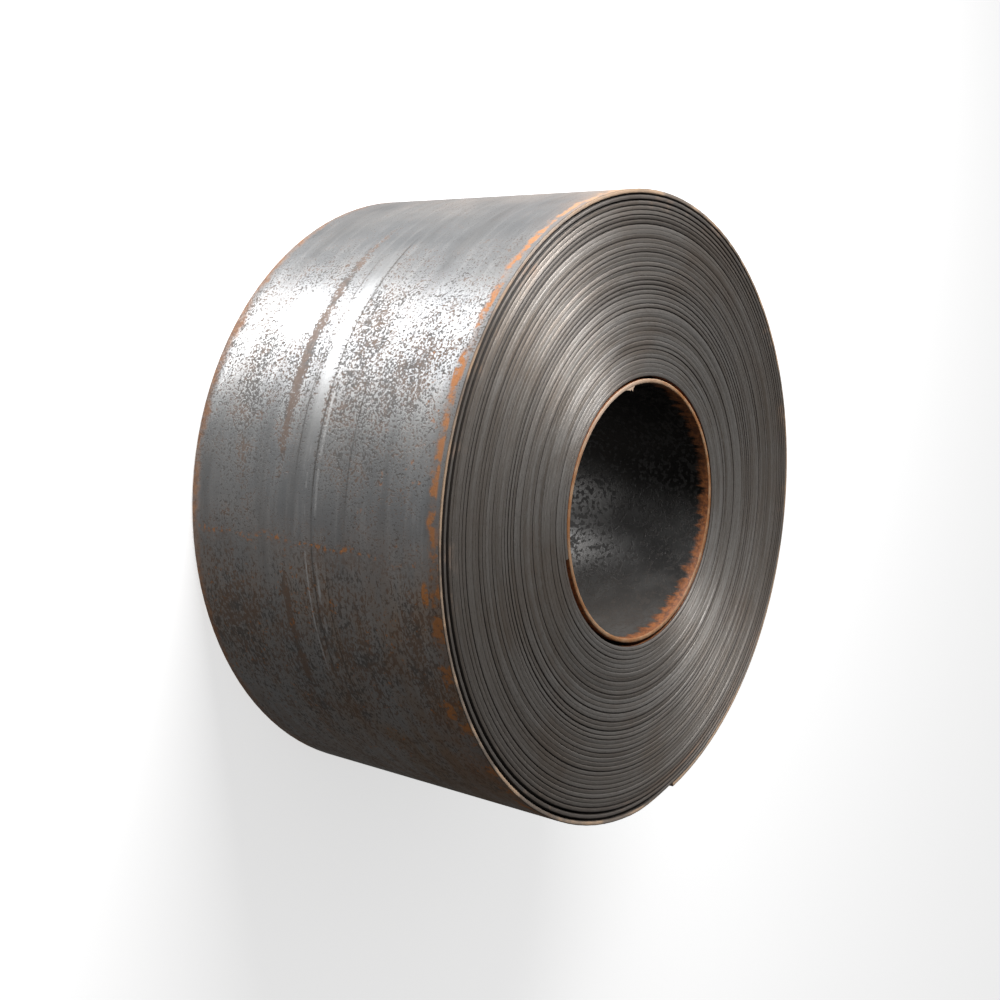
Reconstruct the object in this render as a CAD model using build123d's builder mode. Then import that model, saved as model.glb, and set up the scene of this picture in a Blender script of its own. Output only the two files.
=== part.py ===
from build123d import *
import os

# A steel coil: heavy hot-rolled strip wound on a mandrel, one solid turned
# about the coil's axis. Millimetres. The coil stands on one end, eye to the
# sky: the axis is Z, the lower end rests on Z = 0.

BORE_D = 762.0  # the eye, left by a 30 inch mandrel
OUTER_D = 1870.0  # over the outermost wrap
STRIP_W = 930.0  # width of the strip, so the length of the roll
STRIP_T = 12.7  # thickness of the strip
TURNS = 41  # wraps of strip between the eye and the outside
EDGE = 2.0  # worn-off corner along each edge of the strip

INNER_GAP = 9.0  # the innermost wrap has sprung away from the next one
OUTER_GAPS = (3.5, 5.5)  # the slack inside the two outermost wraps
GAP_DEPTH = 40.0  # how far the open gaps run in from each end

# The wraps run out of line by a few millimetres: how far each one stands up
# from the floor, from the eye out. The list repeats.
RISE = (0.0, 1.6, 0.6, 2.4, 1.0, 0.0, 3.0, 1.4, 2.0, 0.4, 2.8)

bore_r = BORE_D / 2
outer_r = OUTER_D / 2
height = STRIP_W + max(RISE)

# Radial layout: three open gaps, and what is left over shared by the others.
gaps = [0.0] * (TURNS - 1)
gaps[0] = INNER_GAP
gaps[-2], gaps[-1] = OUTER_GAPS
slack = outer_r - bore_r - TURNS * STRIP_T - sum(gaps)
tight_gap = slack / gaps.count(0.0)
gaps = [g if g else tight_gap for g in gaps]

lower, upper = [], []  # points across the two ends, from the eye out
r_in = bore_r
for turn in range(TURNS):
    r_out = r_in + STRIP_T
    low = RISE[turn % len(RISE)]
    high = low + STRIP_W
    lower += [(r_in, low + EDGE), (r_in + EDGE, low), (r_out - EDGE, low), (r_out, low + EDGE)]
    upper += [(r_in, high - EDGE), (r_in + EDGE, high), (r_out - EDGE, high), (r_out, high - EDGE)]
    if turn < TURNS - 1:
        gap = gaps[turn]
        if gap > 2.0:
            lower += [(r_out, GAP_DEPTH), (r_out + gap, GAP_DEPTH)]
            upper += [(r_out, height - GAP_DEPTH), (r_out + gap, height - GAP_DEPTH)]
        r_in = r_out + gap

with BuildPart() as coil:
    # Half section through the roll, then one full turn about its axis.
    with BuildSketch(Plane.XZ):
        with BuildLine():
            Polyline(*lower, *reversed(upper), close=True)
        make_face()
    revolve(axis=Axis.Z, revolution_arc=360)

coil.part.label = "coil"
os.makedirs("parts", exist_ok=True)
export_step(coil.part, "parts/coil.step")
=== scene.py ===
import math

import bpy
import numpy as np
from mathutils import Matrix, Vector


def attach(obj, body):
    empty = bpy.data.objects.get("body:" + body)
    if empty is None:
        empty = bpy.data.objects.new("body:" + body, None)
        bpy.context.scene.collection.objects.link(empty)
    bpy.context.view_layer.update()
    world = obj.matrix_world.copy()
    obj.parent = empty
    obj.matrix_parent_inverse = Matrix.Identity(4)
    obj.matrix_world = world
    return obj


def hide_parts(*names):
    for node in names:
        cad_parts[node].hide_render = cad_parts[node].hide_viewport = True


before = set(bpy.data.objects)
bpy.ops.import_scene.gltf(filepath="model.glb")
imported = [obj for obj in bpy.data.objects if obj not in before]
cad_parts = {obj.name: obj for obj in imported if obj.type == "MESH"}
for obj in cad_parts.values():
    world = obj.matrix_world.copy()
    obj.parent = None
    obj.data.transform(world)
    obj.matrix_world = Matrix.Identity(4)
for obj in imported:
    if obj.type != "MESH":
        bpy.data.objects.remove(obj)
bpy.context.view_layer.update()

# ---------------------------------------------------------------- sizes (m)
R = 0.935  # outside radius
BORE = 0.381  # radius of the eye
T = 0.0127  # strip thickness
W = 0.930  # strip width
LOW = 0.0015  # mean height of the lower ends of the wraps above the floor
TOP = LOW + W
S = 120  # columns to one turn
HEAD = 192.0  # where the second wrap starts, degrees from +X towards +Y
TAIL = 283.0  # where the outer end of the strip lies
TURNS = 39 + ((HEAD - TAIL) % 360) / 360  # wraps outside the loose inner one
SEED = 20261


# ---------------------------------------------------------------- smooth noise
def noise1(x, seed):
    """Smooth value noise of one variable, about -1 to 1."""
    x = np.asarray(x, float)
    rng = np.random.default_rng(SEED + seed)
    table = rng.uniform(-1, 1, 4096)
    i = np.floor(x).astype(int)
    f = x - i
    f = f * f * f * (f * (f * 6 - 15) + 10)
    return table[i % 4096] * (1 - f) + table[(i + 1) % 4096] * f


def ramp(x, a, b):
    t = np.clip((np.asarray(x, float) - a) / (b - a), 0, 1)
    return t * t * (3 - 2 * t)


# ---------------------------------------------------------------- the wound strip
# Columns run along the strip from its inner end. The wraps go clockwise as seen
# from above, so the angle falls as the strip grows.
STEPS = int(round(TURNS * S))
cols = np.arange(STEPS + 1)
turn = cols / S
angle = np.radians(HEAD - 360.0 * turn)
LAST = STEPS / S

r_last = R - T
r_before = r_last - 0.0133  # the strip one turn earlier, under its tail
r_two = r_before - 0.0133
r_first = BORE + T + 0.0015
inner = np.interp(turn, [0, LAST - 2], [r_first, r_two])
# two slack wraps on the outside: each springs up past its own start, so an open
# gap is left that closes again towards the strip's end
s2 = turn - (LAST - 2)
lift2 = r_two + 0.0064 * ramp(s2, 0.0, 0.075) + (r_before - r_two - 0.0064) * np.clip(s2, 0, 1)
inner = np.where(s2 > 0, lift2, inner)
s1 = turn - (LAST - 1)
inner = np.where(s1 > 0, r_before + (r_last - r_before) * ramp(s1, 0.0, 0.042), inner)
inner = inner + 0.00016 * noise1(turn * 2.3, 1) * (s1 < 0) * np.clip(turn, 0, 1)
outer = inner + T

# how far each wrap's edge stands out of line with the end plane
wander = 0.0013 * noise1(turn * 1.7, 2) + 0.0010 * noise1(turn * 0.63, 3) + 0.0005 * noise1(turn * 7.1, 4)
drift = 0.0012 * noise1(turn * 0.11, 5)
shift = wander + drift
shift = 0.0026 * (shift - shift.min()) / (shift.max() - shift.min()) - 0.0013
upper = TOP + shift
lower = LOW + shift

# how open the joint is between a wrap and the next one out, 0 to 1: some joints are
# tight and hardly show, every few wraps one is wide and dark
joint = ramp(noise1(turn * 1.31, 21) + 0.45 * noise1(turn * 4.7, 22) + 0.2 * noise1(turn * 17.0, 23), -0.55, 0.75)
joint = np.where(turn > LAST - 3.2, 1.0, joint)
tone = np.clip(0.5 + 0.42 * noise1(turn * 1.57, 24) + 0.2 * noise1(turn * 5.3, 25) + 0.16 * noise1(turn * 0.27, 26), 0, 1)

# a worn, slightly crowned edge: share of the thickness, depth below the crown, and the share of painted shade with
# dirt that darkens it
CROWN_TOP = [(0.0, 0.0026, 1.0), (0.07, 0.0013, 0.85), (0.18, 0.0004, 0.25), (0.38, 0.00005, 0.0), (0.62, 0.00005, 0.0), (0.82, 0.0004, 0.25), (0.93, 0.0013, 0.85), (1.0, 0.0026, 1.0)]
CROWN_LOW = [(0.0, 0.0026, 1.0), (0.12, 0.0008, 0.5), (0.5, 0.00005, 0.0), (0.88, 0.0008, 0.5), (1.0, 0.0026, 1.0)]
lean = 0.0013 * noise1(turn * 2.1, 6) + 0.0004 * noise1(turn * 6.7, 7)  # the edge leans in or out
GROOVE = np.where(turn > LAST - 2.999, 0.060, 0.016)

verts = []
dirt_and_shade = []
tones = []
faces = []
mats = []


def add(points, dirt_and_shade_list=None, shade=0.5):
    start = len(verts)
    verts.extend(points)
    dirt_and_shade.extend(dirt_and_shade_list if dirt_and_shade_list is not None else [0.0] * len(points))
    tones.extend([float(shade)] * len(points))
    return start


def place(r, z, a):
    return (float(r * math.cos(a)), float(r * math.sin(a)), float(z))


def profile(c, side):
    """Adds one wrap's edge at a column: groove foot, points over the edge, groove foot."""
    end = upper[c] if side > 0 else lower[c]
    crown = CROWN_TOP if side > 0 else CROWN_LOW
    d_in = GROOVE[c - S] if c >= S else GROOVE[c]
    d_out = GROOVE[c]
    j_in = joint[c - S] if c >= S else 1.0
    j_out = joint[c]
    pts = [place(inner[c], end - side * d_in, angle[c])]
    # the groove feet and the worn corners carry painted shade with dirt, stronger where the joint is open
    dark_vals = [1.0]
    for x, d, dirt_and_shade_share in crown:
        j = j_in if x < 0.5 else j_out
        tilt = lean[c] * (x - 0.5) * 2
        pts.append(place(inner[c] + x * T, end - side * (d * (0.35 + 0.75 * j) + abs(lean[c]) + tilt), angle[c]))
        dark_vals.append(float(min(1.0, dirt_and_shade_share * (0.25 + 1.0 * j))))
    pts.append(place(outer[c], end - side * d_out, angle[c]))
    dark_vals.append(1.0)
    return add(pts, dark_vals, tone[c]) + np.arange(len(pts))


front = np.array([profile(c, 1) for c in range(STEPS + 1)])
back = np.array([profile(c, -1) for c in range(STEPS + 1)])
BARREL, EDGE, EYE = 0, 1, 2

E = STEPS
for f in (front, back):
    n = f.shape[1]
    for c in range(E):
        for j in range(1, n - 2):
            faces.append((f[c, j], f[c, j + 1], f[c + 1, j + 1], f[c + 1, j]))
            mats.append(EDGE)
        if c >= S:
            faces.append((f[c, 0], f[c, 1], f[c + 1, 1], f[c + 1, 0]))
            mats.append(EDGE)
        if c + 1 <= E - S:
            faces.append((f[c, n - 2], f[c, n - 1], f[c + 1, n - 1], f[c + 1, n - 2]))
            mats.append(EDGE)
            faces.append((f[c, n - 1], f[c + S, 0], f[c + S + 1, 0], f[c + 1, n - 1]))
            mats.append(EDGE)

M = 28


def wall(c, radius, at, footed, foot_depth):
    """Vertices across the width on one face of the strip; at is the place of that
    face in the edge profile, and footed says that the groove's foot is shared."""
    rim, foot = (1, 0) if at == "in" else (-2, -1)
    ids = [front[c, rim]]
    z0, z1 = upper[c] - foot_depth, lower[c] + foot_depth
    for i in range(1, M):
        z = z0 + (z1 - z0) * (i - 1) / (M - 2)
        if i == 1 and footed:
            ids.append(front[c, foot])
        elif i == M - 1 and footed:
            ids.append(back[c, foot])
        else:
            wob = 0.0005 * float(noise1(z * 5 + 3, 11)) * float(noise1(turn[c] * 9, 12))
            ids.append(add([place(radius[c] - abs(wob), z, angle[c])]))
    ids.append(back[c, rim])
    return ids


d_tail = float(GROOVE[E - S])
barrel = [wall(c, outer, "out", c == E - S, d_tail) for c in range(E - S, E + 1)]
d_head = float(GROOVE[0])
eye2 = [wall(c, inner, "in", c == S, d_head) for c in range(0, S + 1)]
for grid, mat in ((barrel, BARREL), (eye2, EYE)):
    for a, b in zip(grid, grid[1:]):
        for i in range(M):
            faces.append((a[i], a[i + 1], b[i + 1], b[i]))
            mats.append(mat)

# the cut end of the strip outside, and its start inside
t0, t1 = barrel[0], barrel[-1]
faces += [
    tuple(list(front[E, :-1]) + [t1[1]]),
    tuple(t1[1:M] + [back[E, 0], front[E, 0]]),
    tuple(list(back[E, :-1]) + [t1[M - 1]]),
    tuple([front[E, 0], back[E, 0]] + list(reversed(t0[1:M]))),
]
h0, h1 = eye2[0], eye2[-1]
faces += [
    tuple([h0[1]] + list(front[0, 1:])),
    tuple(h0[1:M] + [back[0, -1], front[0, -1]]),
    tuple([h0[M - 1]] + list(back[0, 1:])),
    tuple([front[0, -1], back[0, -1]] + list(reversed(h1[1:M]))),
]
mats += [EDGE] * 8

# the innermost wrap has sprung loose and stands inside the rest as a ring of its own
RING = 180
ring_c = (0.0010, -0.0012)
CROWN_RING = [(0.0, 0.0022), (0.10, 0.0008), (0.30, 0.0001), (0.70, 0.0001), (0.90, 0.0008), (1.0, 0.0022)]
ring_rows = []
for k in range(RING):
    a = 2 * math.pi * k / RING
    wave = 0.0010 * math.sin(2 * a + 0.7) + 0.0005 * math.sin(3 * a + 2.0)
    ri = BORE + wave
    yo = 0.0008 + 0.0005 * math.sin(a + 1.0) + 0.0003 * math.sin(4 * a)
    yf, yb = W + yo, yo
    row = []

    def pt(r, z):
        return (r * math.cos(a) + ring_c[0], r * math.sin(a) + ring_c[1], z)

    for x, d in CROWN_RING:
        row.append(pt(ri + x * T, yf - d))
    for i in range(1, 12):
        row.append(pt(ri + T, yf - 0.0022 + (yb - yf + 0.0044) * i / 12))
    for x, d in reversed(CROWN_RING):
        row.append(pt(ri + x * T, yb + d))
    for i in range(1, 24):
        row.append(pt(ri, yb + 0.0022 - (yb - yf + 0.0044) * i / 24))
    ring_rows.append(add(row) + np.arange(len(row)))
n = len(ring_rows[0])
for k in range(RING):
    a, b = ring_rows[k], ring_rows[(k + 1) % RING]
    for i in range(n):
        faces.append((a[i], a[(i + 1) % n], b[(i + 1) % n], b[i]))
        mats.append(EDGE if i < 5 or 17 <= i < 22 else EYE)

# a torn burr that hangs into the eye from the edge of the inner wrap
BURR = [(99.2, 0.0, 0.0), (100.6, 0.0045, 0.0005), (101.6, 0.0125, 0.0020), (102.3, 0.0050, 0.0010), (103.4, 0.0075, 0.0014), (104.8, 0.0028, 0.0006), (106.4, 0.0, 0.0)]
burr = []
for deg, reach, rise in BURR:
    a = math.radians(deg)
    pts = []
    for r, z in ((BORE + 0.0030, W - 0.0002), (BORE - reach, W + 0.0002 + rise * 0.5), (BORE - reach, W - 0.0009 + rise * 0.5), (BORE + 0.0030, W - 0.0026)):
        pts.append((r * math.cos(a) + ring_c[0], r * math.sin(a) + ring_c[1], z))
    burr.append(add(pts) + np.arange(4))
for a, b in zip(burr, burr[1:]):
    for i in range(4):
        faces.append((a[i], a[(i + 1) % 4], b[(i + 1) % 4], b[i]))
        mats.append(EDGE)
faces += [tuple(burr[0]), tuple(burr[-1])]
mats += [EDGE] * 2

# keep the vertices that a face uses
used = np.zeros(len(verts), bool)
for f in faces:
    used[list(f)] = True
new = np.cumsum(used) - 1
verts = [v for v, u in zip(verts, used) if u]
dirt_and_shade = [v for v, u in zip(dirt_and_shade, used) if u]
tones = [v for v, u in zip(tones, used) if u]
faces = [tuple(int(new[i]) for i in f) for f in faces]

mesh = bpy.data.meshes.new("wound_strip")
mesh.from_pydata(verts, [], faces)
mesh.polygons.foreach_set("material_index", mats)
mesh.polygons.foreach_set("use_smooth", [True] * len(mesh.polygons))
import bmesh

bm = bmesh.new()
bm.from_mesh(mesh)
bmesh.ops.recalc_face_normals(bm, faces=bm.faces)
bm.to_mesh(mesh)
bm.free()
mesh.set_sharp_from_angle(angle=math.radians(58))
# painted shade with dirt for the joints, read by the edge material
mesh.attributes.new("dirt_and_shade", "FLOAT", "POINT").data.foreach_set("value", dirt_and_shade)
mesh.attributes.new("tone", "FLOAT", "POINT").data.foreach_set("value", tones)
mesh.update()
coil = bpy.data.objects.new("wound_strip", mesh)
bpy.context.scene.collection.objects.link(coil)
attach(coil, "root")
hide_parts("coil")

# ---------------------------------------------------------------- UV map for baking
uv = mesh.uv_layers.new(name="OFBake")
co = np.empty(len(mesh.vertices) * 3)
mesh.vertices.foreach_get("co", co)
co = co.reshape(-1, 3)
loop_v = np.empty(len(mesh.loops), int)
mesh.loops.foreach_get("vertex_index", loop_v)
poly_mat = np.empty(len(mesh.polygons), int)
mesh.polygons.foreach_get("material_index", poly_mat)
poly_n = np.empty(len(mesh.polygons), int)
mesh.polygons.foreach_get("loop_total", poly_n)
poly_c = np.empty(len(mesh.polygons) * 3)
mesh.polygons.foreach_get("center", poly_c)
poly_c = poly_c.reshape(-1, 3)
lm = np.repeat(poly_mat, poly_n)
lc = np.repeat(poly_c, poly_n, axis=0)
p = co[loop_v]
ang = np.degrees(np.arctan2(p[:, 1], p[:, 0])) % 360
ang_c = np.degrees(np.arctan2(lc[:, 1], lc[:, 0])) % 360
ang = ang_c + ((ang - ang_c + 180) % 360 - 180)  # no face wraps round the seam
uvs = np.zeros((len(p), 2))
v01 = np.clip((TOP - p[:, 2]) / W, 0, 1)
half = (ang_c >= 180).astype(float)
b = lm == BARREL
uvs[b, 0] = 0.012 + 0.976 * (ang[b] - 180 * half[b]) / 180
uvs[b, 1] = 0.005 + 0.21 * v01[b] + 0.22 * half[b]
y = lm == EYE
uvs[y, 0] = 0.012 + 0.976 * ang[y] / 360
uvs[y, 1] = 0.445 + 0.10 * v01[y]
hid = y & (np.hypot(lc[:, 0], lc[:, 1]) > BORE + 0.006)
uvs[hid, 1] = 0.549 + 0.008 * v01[hid]
e = lm == EDGE
far = (lc[:, 2] < TOP / 2).astype(float)
uvs[e, 0] = 0.215 + 0.425 * far[e] * 1.03 + 0.2125 * (p[e, 0] / R) * np.where(far[e] > 0, -1, 1)
uvs[e, 1] = 0.778 + 0.2125 * p[e, 1] / R
uv.data.foreach_set("uv", uvs.ravel())


# ---------------------------------------------------------------- node helpers
class Nodes:
    def __init__(self, name):
        self.mat = bpy.data.materials.new(name)
        self.mat.use_nodes = True
        self.tree = self.mat.node_tree
        self.tree.nodes.clear()
        self.out = self.tree.nodes.new("ShaderNodeOutputMaterial")
        self.bsdf = self.tree.nodes.new("ShaderNodeBsdfPrincipled")
        self.tree.links.new(self.bsdf.outputs[0], self.out.inputs[0])
        co = self.tree.nodes.new("ShaderNodeTexCoord")
        self.obj = co.outputs["Object"]
        sep = self.tree.nodes.new("ShaderNodeSeparateXYZ")
        self.link(self.obj, sep.inputs[0])
        self.x, self.y, self.z = sep.outputs
        self.r = self.math("SQRT", self.math("ADD", self.math("MULTIPLY", self.x, self.x), self.math("MULTIPLY", self.y, self.y)))
        # degrees round the axis from +X towards +Y, 0 to 360
        a = self.math("MULTIPLY", self.math("ARCTAN2", self.y, self.x), 180 / math.pi)
        self.a = self.math("ADD", a, self.math("MULTIPLY", self.math("LESS_THAN", a, 0.0), 360.0))
        self.cos, self.sin = self.math("DIVIDE", self.x, self.r), self.math("DIVIDE", self.y, self.r)
        self.v = self.math("DIVIDE", self.math("SUBTRACT", TOP, self.z), W)  # 0 at the upper end, 1 at the floor

    def link(self, a, b):
        self.tree.links.new(a, b)

    def put(self, socket, value):
        if hasattr(value, "is_output"):
            self.link(value, socket)
        elif isinstance(value, (tuple, list)) and socket.type == "RGBA" and len(value) == 3:
            socket.default_value = (*value, 1)
        else:
            socket.default_value = value

    def math(self, op, a, b=None, c=None, clamp=False):
        m = self.tree.nodes.new("ShaderNodeMath")
        m.operation = op
        m.use_clamp = clamp
        for i, v in enumerate((a, b, c)):
            if v is not None:
                self.put(m.inputs[i], v)
        return m.outputs[0]

    def step(self, x, a, b, lo=0.0, hi=1.0, smooth=True):
        m = self.tree.nodes.new("ShaderNodeMapRange")
        m.interpolation_type = "SMOOTHSTEP" if smooth else "LINEAR"
        m.clamp = True
        self.put(m.inputs["Value"], x)
        for name, v in (("From Min", a), ("From Max", b), ("To Min", lo), ("To Max", hi)):
            m.inputs[name].default_value = v
        return m.outputs[0]

    def bump_at(self, x, centre, width):
        """1 at centre, falling smoothly to 0 at width on both sides."""
        d = self.math("ABSOLUTE", self.math("SUBTRACT", x, centre))
        return self.step(d, 0.0, width, 1.0, 0.0)

    def mapped(self, scale, vec=None):
        m = self.tree.nodes.new("ShaderNodeMapping")
        self.link(vec or self.obj, m.inputs["Vector"])
        m.inputs["Scale"].default_value = scale
        return m.outputs[0]

    def noise(self, scale, detail=3.0, rough=0.55, vec=None, off=0.0):
        t = self.tree.nodes.new("ShaderNodeTexNoise")
        self.link(vec or self.obj, t.inputs["Vector"])
        t.inputs["Scale"].default_value = scale * (1 + 0.013 * off)  # no two patterns alike
        t.inputs["Detail"].default_value = detail
        t.inputs["Roughness"].default_value = rough
        return t.outputs["Fac"]

    def cells(self, scale, vec=None, rand=1.0):
        t = self.tree.nodes.new("ShaderNodeTexVoronoi")
        self.link(vec or self.obj, t.inputs["Vector"])
        t.inputs["Scale"].default_value = scale
        t.inputs["Randomness"].default_value = rand
        return t.outputs["Distance"], t.outputs["Color"]

    def mix(self, fac, a, b, mode="MIX"):
        m = self.tree.nodes.new("ShaderNodeMix")
        m.data_type = "RGBA"
        m.blend_type = mode
        m.clamp_factor = True
        self.put(m.inputs[0], fac)
        self.put(m.inputs[6], a)
        self.put(m.inputs[7], b)
        return m.outputs[2]

    def vec(self, x, y, z):
        c = self.tree.nodes.new("ShaderNodeCombineXYZ")
        for s, v in zip(c.inputs, (x, y, z)):
            self.put(s, v)
        return c.outputs[0]

    def attr(self, name):
        t = self.tree.nodes.new("ShaderNodeAttribute")
        t.attribute_name = name
        return t.outputs["Fac"]

    def bump(self, height, strength, distance):
        n = self.tree.nodes.new("ShaderNodeBump")
        n.inputs["Strength"].default_value = strength
        n.inputs["Distance"].default_value = distance
        self.link(height, n.inputs["Height"])
        self.link(n.outputs[0], self.bsdf.inputs["Normal"])


def barrel_material():
    k = Nodes("mill_scale")
    mu, mx = k.math, k.mix

    def top_of(*values):
        out = values[0]
        for v in values[1:]:
            out = mu("MAXIMUM", out, v)
        return out

    def both(*values):
        out = values[0]
        for v in values[1:]:
            out = mu("MULTIPLY", out, v)
        return out

    def window(x, a, b, soft):
        return both(k.step(x, a - soft, a + soft), k.step(x, b + soft, b - soft))

    # noise drawn out round the roll, without a seam
    flow = k.vec(mu("MULTIPLY", k.x, 0.10), mu("MULTIPLY", k.y, 0.10), k.z)
    half_flow = k.vec(mu("MULTIPLY", k.x, 0.45), mu("MULTIPLY", k.y, 0.45), k.z)
    cloud = k.noise(2.3, 4, 0.6)
    blotch = k.noise(8.0, 4, 0.62, off=3.0)
    fine = k.noise(75.0, 4, 0.7, off=7.0)
    grit = k.noise(230.0, 3, 0.7, off=9.0)
    streak = k.noise(60.0, 4, 0.65, vec=flow, off=1.0)
    broad = k.noise(9.0, 4, 0.6, vec=flow, off=2.0)

    # clean scale: blue-grey, drawn out round the roll
    base = mx(k.step(cloud, 0.35, 0.68), (0.34, 0.348, 0.358), (0.43, 0.428, 0.425))
    base = mx(mu("MULTIPLY", k.step(streak, 0.45, 0.72), 0.45), base, (0.56, 0.555, 0.55))
    base = mx(mu("MULTIPLY", k.step(broad, 0.50, 0.34), 0.40), base, (0.24, 0.235, 0.232))

    # where rust has got hold: over the top, below the waist, towards the upper end
    over = k.step(k.a, 122.0, 92.0)
    over = both(over, k.step(k.a, 20.0, 60.0))
    low = both(k.step(k.a, 170.0, 192.0), k.step(k.a, 335.0, 300.0))
    deep = both(k.step(k.a, 196.0, 226.0), k.step(k.a, 335.0, 300.0))
    near = k.step(k.v, 0.85, 0.02)
    zone = top_of(mu("MULTIPLY", over, mu("ADD", mu("MULTIPLY", near, 0.25), 0.34)), mu("MULTIPLY", low, mu("ADD", mu("MULTIPLY", near, 0.22), 0.62)))
    zone = mu("ADD", zone, mu("MULTIPLY", deep, mu("ADD", mu("MULTIPLY", near, 0.40), 0.05)))
    patchy = k.step(k.noise(4.0, 5, 0.65, off=5.0), 0.30, 0.62, 0.45, 1.0)
    drawn = k.step(k.noise(26.0, 4, 0.6, vec=flow, off=6.0), 0.36, 0.62, 0.55, 1.0)
    haze = mu("MULTIPLY", zone, both(patchy, drawn), clamp=True)

    # smooth bands that run round the roll, with fine lines beside them
    wob = mu("ADD", k.v, mu("MULTIPLY", mu("SUBTRACT", k.noise(2.0, 2, 0.5, off=20.0), 0.5), 0.014))
    smooth = both(window(wob, 0.492, 0.530, 0.012), window(k.a, 127.0, 166.0, 6.0))
    clean = both(k.bump_at(k.v, 0.72, 0.13), k.bump_at(k.a, 140.0, 9.0))
    clean = top_of(smooth, clean)
    line_break = k.step(k.noise(3.5, 3, 0.6, off=22.0), 0.40, 0.56)
    dark_line = top_of(both(k.bump_at(wob, 0.478, 0.006), window(k.a, 122.0, 206.0, 6.0)), both(k.bump_at(wob, 0.345, 0.004), window(k.a, 138.0, 172.0, 6.0)), both(k.bump_at(wob, 0.552, 0.005), window(k.a, 130.0, 168.0, 5.0)), both(k.bump_at(wob, 0.425, 0.005), window(k.a, 186.0, 212.0, 5.0)))
    dark_line = both(dark_line, mu("ADD", mu("MULTIPLY", line_break, 0.6), 0.4))
    pale_line = top_of(both(k.bump_at(wob, 0.462, 0.008), window(k.a, 150.0, 199.0, 4.0)), both(k.bump_at(wob, 0.505, 0.005), window(k.a, 165.0, 204.0, 6.0)))
    pale_line = both(pale_line, k.step(k.noise(7.0, 3, 0.6, off=24.0), 0.42, 0.58))

    # speckle: small dark pits and scabs, thick in places and nearly absent in others
    dens = mu("ADD", mu("MULTIPLY", k.noise(3.6, 4, 0.6, off=11.0), 0.60), mu("MULTIPLY", broad, 0.40))
    dens = mu("ADD", dens, mu("MULTIPLY", k.bump_at(k.a, 152.0, 26.0), 0.075))
    dens = mu("ADD", dens, mu("MULTIPLY", k.bump_at(k.a, 199.0, 22.0), 0.13))
    dens = mu("SUBTRACT", dens, mu("MULTIPLY", k.bump_at(k.a, 175.0, 9.0), 0.10))
    dens = mu("SUBTRACT", dens, mu("MULTIPLY", window(k.a, 30.0, 124.0, 12.0), 0.16))
    dens = mu("SUBTRACT", dens, mu("MULTIPLY", clean, 0.26))
    scar = both(k.bump_at(wob, 0.62, 0.030), window(k.a, 116.0, 168.0, 6.0))
    scar = top_of(scar, both(k.bump_at(wob, 0.605, 0.022), window(k.a, 186.0, 208.0, 3.0)))
    dens = mu("ADD", dens, mu("MULTIPLY", scar, 0.24))
    lift = mu("MULTIPLY", mu("SUBTRACT", dens, 0.5), 0.70)
    dots = k.step(mu("ADD", k.noise(125.0, 2, 0.6, off=15.0), lift), 0.545, 0.615)
    drawn_dots = k.step(mu("ADD", k.noise(115.0, 2, 0.6, vec=half_flow, off=16.0), lift), 0.55, 0.63)
    dots = top_of(both(dots, k.step(k.a, 186.0, 178.0)), both(drawn_dots, k.step(k.a, 178.0, 186.0)))
    scabs = k.step(mu("ADD", k.noise(60.0, 2, 0.65, off=17.0), mu("MULTIPLY", lift, 0.9)), 0.635, 0.70)
    specks = both(k.step(k.noise(160.0, 2, 0.5, off=19.0), 0.60, 0.66), mu("SUBTRACT", 1.0, clean))
    pits = top_of(mu("MULTIPLY", dots, 0.75), mu("MULTIPLY", scabs, 0.8), mu("MULTIPLY", specks, 0.50))
    warm = k.step(mu("ADD", k.noise(13.0, 4, 0.65, off=23.0), mu("MULTIPLY", mu("ADD", haze, mu("MULTIPLY", scar, 0.8)), 0.14)), 0.42, 0.64)
    pit_colour = mx(warm, (0.062, 0.050, 0.042), (0.155, 0.085, 0.048))

    haze_colour = mx(low, (0.36, 0.245, 0.175), (0.285, 0.195, 0.130))
    base = mx(mu("MULTIPLY", haze, 0.95), base, haze_colour)
    base = mx(mu("MULTIPLY", clean, 0.20), base, (0.55, 0.55, 0.55))
    base = mx(pits, base, pit_colour)
    base = mx(mu("MULTIPLY", pale_line, 0.75), base, (0.66, 0.655, 0.65))
    base = mx(mu("MULTIPLY", dark_line, 0.70), base, (0.085, 0.072, 0.062))

    # rust along both rims, broken up, and in dots along one line across the roll
    ragged = mu("ADD", mu("MULTIPLY", mu("SUBTRACT", k.noise(30.0, 4, 0.65, off=31.0), 0.5), 0.05), mu("MULTIPLY", mu("SUBTRACT", k.noise(8.0, 3, 0.6, off=33.0), 0.5), 0.05))
    edge_v = mu("ADD", k.v, ragged)
    broken = k.step(k.noise(11.0, 4, 0.7, off=35.0), 0.45, 0.57)
    lip = both(k.step(k.v, 0.020, 0.012), window(k.a, 112.0, 176.0, 6.0))
    front_rim = both(k.step(edge_v, 0.050, 0.030), mu("SUBTRACT", 1.0, lip), mu("ADD", mu("MULTIPLY", broken, 0.78), 0.16))
    tan_top = both(k.step(edge_v, 0.12, 0.02), k.step(k.a, 132.0, 96.0), k.step(k.a, 20.0, 60.0))
    stain = both(deep, k.step(edge_v, 0.26, 0.02), k.step(k.noise(7.0, 4, 0.65, off=36.0), 0.40, 0.62))
    back_rim = both(k.step(edge_v, 0.960, 0.985), mu("ADD", mu("MULTIPLY", broken, 0.40), 0.50))
    hot = top_of(both(k.bump_at(k.v, 0.035, 0.022), k.bump_at(k.a, 151.0, 5.5)), both(k.bump_at(k.v, 0.055, 0.020), k.bump_at(k.a, 186.0, 3.4)), both(k.bump_at(k.v, 0.055, 0.035), k.bump_at(k.a, 206.5, 3.0)))
    hot = both(k.step(hot, 0.08, 0.5), k.step(k.noise(40.0, 3, 0.6, off=38.0), 0.36, 0.52))
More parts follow.
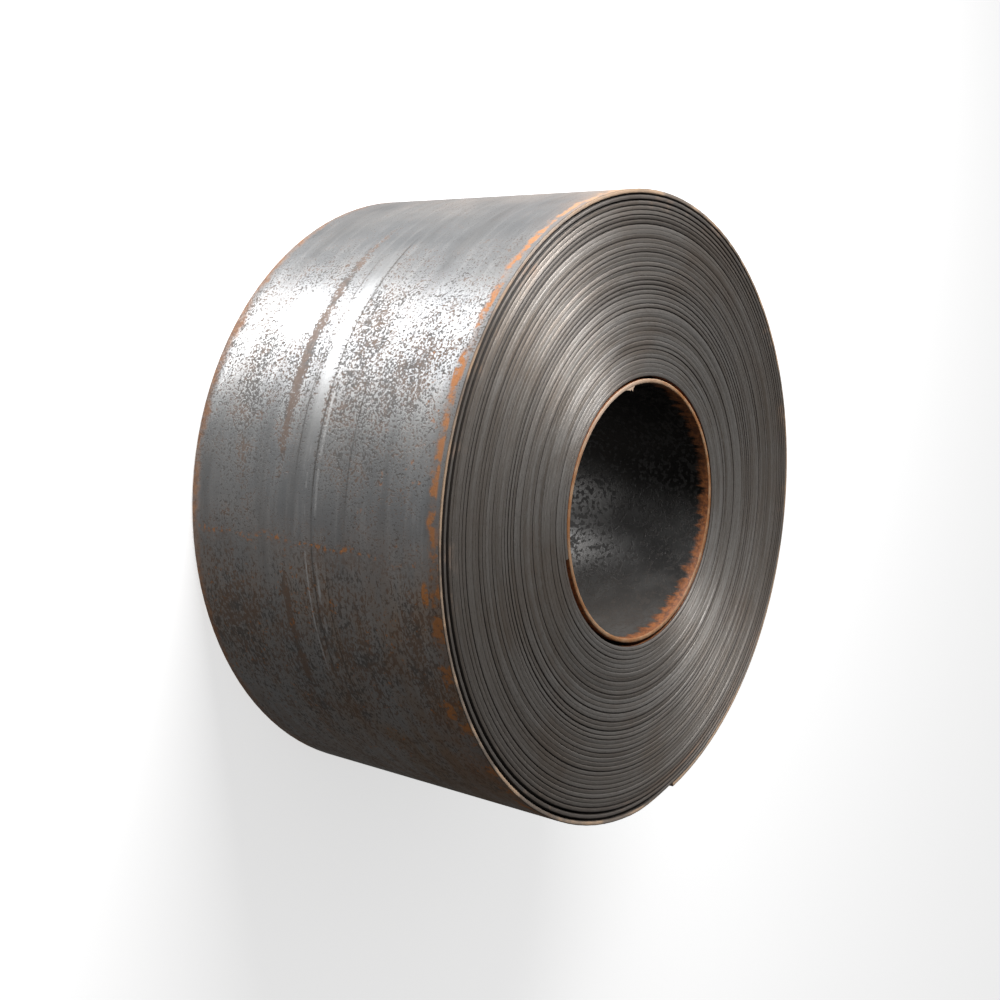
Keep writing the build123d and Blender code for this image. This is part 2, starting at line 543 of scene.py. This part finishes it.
    blobs = both(k.step(k.noise(46.0, 3, 0.6, off=37.0), 0.60, 0.68), k.step(k.noise(6.0, 3, 0.6, off=39.0), 0.47, 0.60), top_of(low, both(k.step(k.v, 0.5, 0.1), window(k.a, 140.0, 190.0, 8.0))))
    wiggle = mu("ADD", k.a, mu("MULTIPLY", mu("SUBTRACT", k.noise(5.0, 2, 0.5, off=41.0), 0.5), 4.5))
    line = both(k.bump_at(wiggle, 180.9, 1.1), k.step(k.noise(42.0, 3, 0.65, off=43.0), 0.50, 0.60), window(k.v, 0.20, 0.97, 0.02))
    orange = top_of(front_rim, both(tan_top, 0.45), both(stain, 0.55), back_rim, hot, both(blobs, 0.85), line)
    bright = top_of(hot, both(front_rim, broken), line, both(blobs, 0.8))
    rust = mx(k.step(fine, 0.36, 0.64), (0.225, 0.092, 0.034), (0.40, 0.185, 0.075))
    rust = mx(both(bright, 0.8), rust, (0.56, 0.205, 0.045))
    rust = mx(both(tan_top, 0.9), rust, (0.50, 0.31, 0.18))
    base = mx(mu("MULTIPLY", orange, 0.92), base, rust)

    k.link(base, k.bsdf.inputs["Base Color"])
    rusty = top_of(mu("MULTIPLY", haze, 0.85), orange, pits)
    k.link(mu("SUBTRACT", 0.75, mu("MULTIPLY", rusty, 0.70)), k.bsdf.inputs["Metallic"])
    k.bsdf.inputs["Specular IOR Level"].default_value = 0.5
    rough = mu("ADD", k.step(blotch, 0.3, 0.7, 0.31, 0.42, smooth=False), mu("MULTIPLY", rusty, 0.26))
    rough = mu("ADD", rough, mu("MULTIPLY", mu("SUBTRACT", grit, 0.5), 0.25))
    k.link(rough, k.bsdf.inputs["Roughness"])
    h = mu("ADD", mu("MULTIPLY", pits, -0.5), mu("ADD", mu("MULTIPLY", fine, 0.60), mu("MULTIPLY", grit, 0.45)))
    h = mu("ADD", h, mu("MULTIPLY", streak, 0.20))
    k.bump(h, 0.55, 0.0009)
    return k.mat


def edge_material():
    k = Nodes("strip_edges")
    mu, mx = k.math, k.mix
    # grain drawn out along each wrap, without a seam
    along = k.vec(mu("MULTIPLY", k.cos, 9.0), mu("MULTIPLY", k.sin, 9.0), mu("MULTIPLY", k.r, 120.0))
    grain = k.noise(3.4, 4, 0.7, vec=along, off=1.0)
    coarse = k.noise(1.0, 3, 0.6, vec=k.vec(mu("MULTIPLY", k.cos, 2.2), mu("MULTIPLY", k.sin, 2.2), mu("MULTIPLY", k.r, 74.0)), off=2.0)
    fine = k.noise(150.0, 3, 0.7, off=5.0)
    cloud = k.noise(3.0, 4, 0.6, off=7.0)
    tone = k.attr("tone")
    dirt_and_shade = k.attr("dirt_and_shade")

    base = mx(tone, (0.275, 0.243, 0.215), (0.46, 0.435, 0.41))
    base = mx(mu("MULTIPLY", k.step(coarse, 0.44, 0.66), 0.35), base, (0.46, 0.445, 0.43))
    base = mx(mu("MULTIPLY", k.step(coarse, 0.48, 0.30), 0.35), base, (0.165, 0.140, 0.120))
    base = mx(mu("MULTIPLY", k.step(grain, 0.52, 0.70), 0.45), base, (0.54, 0.53, 0.52))
    base = mx(mu("MULTIPLY", k.step(grain, 0.47, 0.30), 0.50), base, (0.13, 0.110, 0.095))
    base = mx(mu("MULTIPLY", k.step(cloud, 0.44, 0.68), 0.40), base, (0.270, 0.205, 0.158))
    base = mx(mu("MULTIPLY", k.step(k.r, 0.45, 0.90), 0.30), base, (0.225, 0.180, 0.145))
    base = mx(mu("MULTIPLY", k.step(fine, 0.56, 0.72), 0.40), base, (0.12, 0.095, 0.078))

    # rust: on the loose inner wrap, along the outermost one, in one streak
    inner_ring = k.step(k.r, BORE + T + 0.0046, BORE + T + 0.0034)
    outer_ring = mu("MULTIPLY", k.step(k.r, R - T - 0.0012, R - T + 0.0008), mu("ADD", mu("MULTIPLY", k.step(k.noise(7.0, 3, 0.6, off=10.0), 0.38, 0.58), 0.6), 0.3))
    streak = mu("MULTIPLY", k.bump_at(k.r, R * 0.945, 0.022), mu("MULTIPLY", k.bump_at(k.a, 290.0, 34.0), k.step(coarse, 0.36, 0.56)))
    patches = mu("MULTIPLY", k.step(k.r, R - 0.090, R - 0.020), k.step(k.noise(9.0, 4, 0.65, off=11.0), 0.52, 0.68))
    rust = mx(k.step(fine, 0.36, 0.64), (0.22, 0.115, 0.060), (0.40, 0.235, 0.140))
    marks = mu("MAXIMUM", mu("MULTIPLY", streak, 0.75), mu("MULTIPLY", patches, 0.45))
    base = mx(marks, base, rust)
    base = mx(mu("MULTIPLY", outer_ring, 0.85), base, (0.52, 0.345, 0.215))
    ring_rust_and_highlight = mx(k.step(k.noise(20.0, 4, 0.6, off=13.0), 0.38, 0.64), (0.29, 0.125, 0.044), (0.36, 0.215, 0.120))
    # paler, greyer tan on the upper left of the loose inner wrap: painted highlight where the fan of light crosses
    # it, over real tan rust
    ring_rust_and_highlight = mx(mu("MULTIPLY", k.bump_at(k.a, 110.0, 52.0), 0.75), ring_rust_and_highlight, (0.50, 0.385, 0.295))
    base = mx(mu("MULTIPLY", inner_ring, 0.95), base, ring_rust_and_highlight)
    # painted shade, with some dirt, in the joints between the wraps: nearly black at the groove feet and the worn
    # corners beside them
    loose = mu("MAXIMUM", inner_ring, mu("MULTIPLY", outer_ring, 0.6))
    joint = mu("MULTIPLY", k.step(dirt_and_shade, 0.10, 0.85), mu("SUBTRACT", 1.0, mu("MULTIPLY", loose, 0.85)))
    base = mx(mu("MULTIPLY", joint, 0.97), base, (0.030, 0.024, 0.020))
    k.link(base, k.bsdf.inputs["Base Color"])
    rusty = mu("MAXIMUM", mu("MAXIMUM", inner_ring, outer_ring), mu("MAXIMUM", marks, joint))
    k.link(mu("SUBTRACT", 0.85, mu("MULTIPLY", rusty, 0.80)), k.bsdf.inputs["Metallic"])
    k.bsdf.inputs["Specular IOR Level"].default_value = 0.5
    rough = mu("ADD", k.step(coarse, 0.3, 0.7, 0.40, 0.52, smooth=False), mu("MULTIPLY", rusty, 0.28))
    k.link(rough, k.bsdf.inputs["Roughness"])
    k.bsdf.inputs["Anisotropic"].default_value = 0.78
    k.bsdf.inputs["Anisotropic Rotation"].default_value = 0.25
    tangent = k.tree.nodes.new("ShaderNodeTangent")
    tangent.direction_type = "RADIAL"
    tangent.axis = "Z"
    k.link(tangent.outputs[0], k.bsdf.inputs["Tangent"])
    h = mu("ADD", mu("MULTIPLY", grain, 0.8), mu("MULTIPLY", fine, 0.5))
    k.bump(h, 0.5, 0.0012)
    return k.mat


def eye_material():
    k = Nodes("eye_scale")
    mu, mx = k.math, k.mix
    cloud = k.noise(5.0, 4, 0.6)
    fine = k.noise(70.0, 4, 0.7, off=3.0)
    # the eye's scale is painted far darker than the same scale on the barrel: painted shade inside the eye
    base = mx(k.step(cloud, 0.36, 0.66), (0.075, 0.073, 0.071), (0.13, 0.128, 0.125))
    pits = k.step(mu("ADD", k.noise(62.0, 2, 0.55, off=5.0), mu("MULTIPLY", mu("SUBTRACT", k.noise(7.0, 3, 0.6, off=6.0), 0.5), 0.4)), 0.51, 0.60)
    base = mx(mu("MULTIPLY", pits, 0.85), base, (0.020, 0.017, 0.015))
    # painted shade darkens the upper arch of the eye nearly to black, and painted light makes the lower arch
    # lighter and browner
    upper_arch_shade = k.step(k.y, -0.10, 0.05)
    base = mx(mu("MULTIPLY", upper_arch_shade, 0.94), base, (0.010, 0.009, 0.008))
    # painted light on the lower arch, where light falls in from the front
    lower_arch_light = mu("MULTIPLY", k.bump_at(k.a, 280.0, 52.0), 0.45)
    base = mx(lower_arch_light, base, (0.105, 0.090, 0.078))
    # rust fringe creeping in from both mouths, in ragged tongues
    tongue = k.noise(1.0, 4, 0.7, vec=k.vec(mu("MULTIPLY", k.cos, 16.0), mu("MULTIPLY", k.sin, 16.0), mu("MULTIPLY", k.z, 6.0)), off=9.0)
    reach = mu("MULTIPLY", k.step(tongue, 0.25, 0.75, 0.002, 0.068, smooth=False), k.step(k.noise(3.0, 2, 0.5, off=15.0), 0.35, 0.65, 0.6, 1.1))
    deep = mu("MINIMUM", mu("SUBTRACT", TOP, k.z), mu("SUBTRACT", k.z, LOW))
    fringe = k.step(mu("SUBTRACT", deep, reach), 0.014, -0.014)
    rust = mx(k.step(fine, 0.36, 0.64), (0.12, 0.036, 0.009), (0.29, 0.095, 0.022))
    base = mx(mu("MULTIPLY", fringe, 0.92), base, rust)
    k.link(base, k.bsdf.inputs["Base Color"])
    rusty = mu("MAXIMUM", mu("MAXIMUM", fringe, mu("MULTIPLY", pits, 0.8)), lower_arch_light)
    k.link(mu("SUBTRACT", 0.75, mu("MULTIPLY", rusty, 0.70)), k.bsdf.inputs["Metallic"])
    k.bsdf.inputs["Specular IOR Level"].default_value = 0.5
    rough = mu("ADD", k.step(cloud, 0.3, 0.7, 0.28, 0.38, smooth=False), mu("MULTIPLY", rusty, 0.28))
    k.link(rough, k.bsdf.inputs["Roughness"])
    k.bump(mu("ADD", mu("MULTIPLY", pits, -0.7), fine), 0.5, 0.0009)
    return k.mat


for make in (barrel_material, edge_material, eye_material):
    mesh.materials.append(make())

# ---------------------------------------------------------------- floor, light, camera
# The roll stands on its end. The camera keeps the photograph's view of it, so it
# looks down on the upper end and is turned on its side. In "view" coordinates x
# is to the right of the end face, y goes away from the viewer along the axis and
# z is up in the picture, all from the roll's centre.
TURN = Matrix(((1, 0, 0), (0, 0, 1), (0, -1, 0)))
CENTRE = Vector((0, 0, LOW + W / 2))


def from_view(x, y, z):
    return CENTRE + TURN @ Vector((x, y, z))


floor_mesh = bpy.data.meshes.new("floor")
floor_mesh.from_pydata([(-60, -60, 0), (60, -60, 0), (60, 60, 0), (-60, 60, 0)], [], [(0, 1, 2, 3)])
floor = bpy.data.objects.new("floor", floor_mesh)
bpy.context.scene.collection.objects.link(floor)
fm = bpy.data.materials.new("pale_floor")
fm.use_nodes = True
fb = fm.node_tree.nodes["Principled BSDF"]
fb.inputs["Base Color"].default_value = (0.8, 0.8, 0.8, 1)
fb.inputs["Roughness"].default_value = 0.9
fb.inputs["Specular IOR Level"].default_value = 0.1
fb.inputs["Emission Color"].default_value = (1, 1, 1, 1)
fb.inputs["Emission Strength"].default_value = 0.62
floor_mesh.materials.append(fm)
floor.visible_diffuse = False
floor.visible_glossy = False
floor.visible_shadow = False

scene = bpy.context.scene
world = bpy.data.worlds.new("studio")
scene.world = world
world.use_nodes = True
bg = world.node_tree.nodes["Background"]
wco = world.node_tree.nodes.new("ShaderNodeTexCoord")
wsep = world.node_tree.nodes.new("ShaderNodeSeparateXYZ")
world.node_tree.links.new(wco.outputs["Generated"], wsep.inputs[0])
wmap = world.node_tree.nodes.new("ShaderNodeMapRange")
for name, value in (("From Min", -1.0), ("From Max", 1.0), ("To Min", 0.0), ("To Max", 1.0)):
    wmap.inputs[name].default_value = value
world.node_tree.links.new(wsep.outputs[1], wmap.inputs["Value"])
wramp = world.node_tree.nodes.new("ShaderNodeValToRGB")
world.node_tree.links.new(wmap.outputs[0], wramp.inputs[0])
SKY = [(0.0, 0.03), (0.15, 0.10), (0.38, 0.125), (0.50, 0.17), (0.68, 0.31), (0.85, 0.48), (1.0, 0.55)]
stops = wramp.color_ramp.elements
stops[0].position, stops[1].position = SKY[0][0], SKY[-1][0]
for at, v in SKY[1:-1]:
    stops.new(at)
for stop, (at, v) in zip(stops, SKY):
    stop.color = (v, v, v, 1)
world.node_tree.links.new(wramp.outputs[0], bg.inputs["Color"])
bg.inputs["Strength"].default_value = 1.0


def area(name, spot, target, size, energy, long_side=(1, 0, 0), colour=(1, 1, 1)):
    """A soft box at a spot in view coordinates; its first size lies along long_side."""
    data = bpy.data.lights.new(name, "AREA")
    data.shape = "RECTANGLE"
    data.size, data.size_y = size
    data.energy = energy
    data.color = colour
    ob = bpy.data.objects.new(name, data)
    loc = from_view(*spot)
    z = (loc - from_view(*target)).normalized()
    x = TURN @ Vector(long_side)
    x = (x - z * x.dot(z)).normalized()
    y = z.cross(x)
    ob.matrix_world = Matrix.Translation(loc) @ Matrix((x, y, z)).transposed().to_4x4()
    scene.collection.objects.link(ob)
    return ob


area("overhead", (0.0, -2.4, 3.9), (0, 0, 0), (3.0, 2.0), 330)
area("behind", (-1.85, 2.6, 3.2), (-0.6, 0, 0.5), (3.6, 1.8), 135, (0, 1, 0))
area("mouth", (-0.27, 0.62, -0.10), (0.35, 0.0, -0.02), (0.26, 0.20), 0.9)

# camera fitted to the outlines of the roll in the photograph
AZ, EL, DIST = math.radians(-52.62), math.radians(8.69), 4.603 * R
PAN, TILT, LENS = math.radians(-0.86), math.radians(0.14), 1353.2 / 1000 * 36
back_dir = Vector((math.sin(AZ) * math.cos(EL), -math.cos(AZ) * math.cos(EL), math.sin(EL)))
right = Vector((math.cos(AZ), math.sin(AZ), 0))
up = right.cross(-back_dir)
rot = Matrix((right, up, back_dir))
rot = Matrix.Rotation(TILT, 3, "X") @ Matrix.Rotation(PAN, 3, "Y") @ rot
cam_data = bpy.data.cameras.new("camera")
cam_data.sensor_fit = "HORIZONTAL"
cam_data.sensor_width = 36
cam_data.lens = LENS
cam_data.clip_end = 200
cam = bpy.data.objects.new("camera", cam_data)
cam.matrix_world = Matrix.Translation(from_view(*(back_dir * DIST))) @ (TURN @ rot.transposed()).to_4x4()
scene.collection.objects.link(cam)
scene.camera = cam
scene.view_settings.view_transform = "Standard"
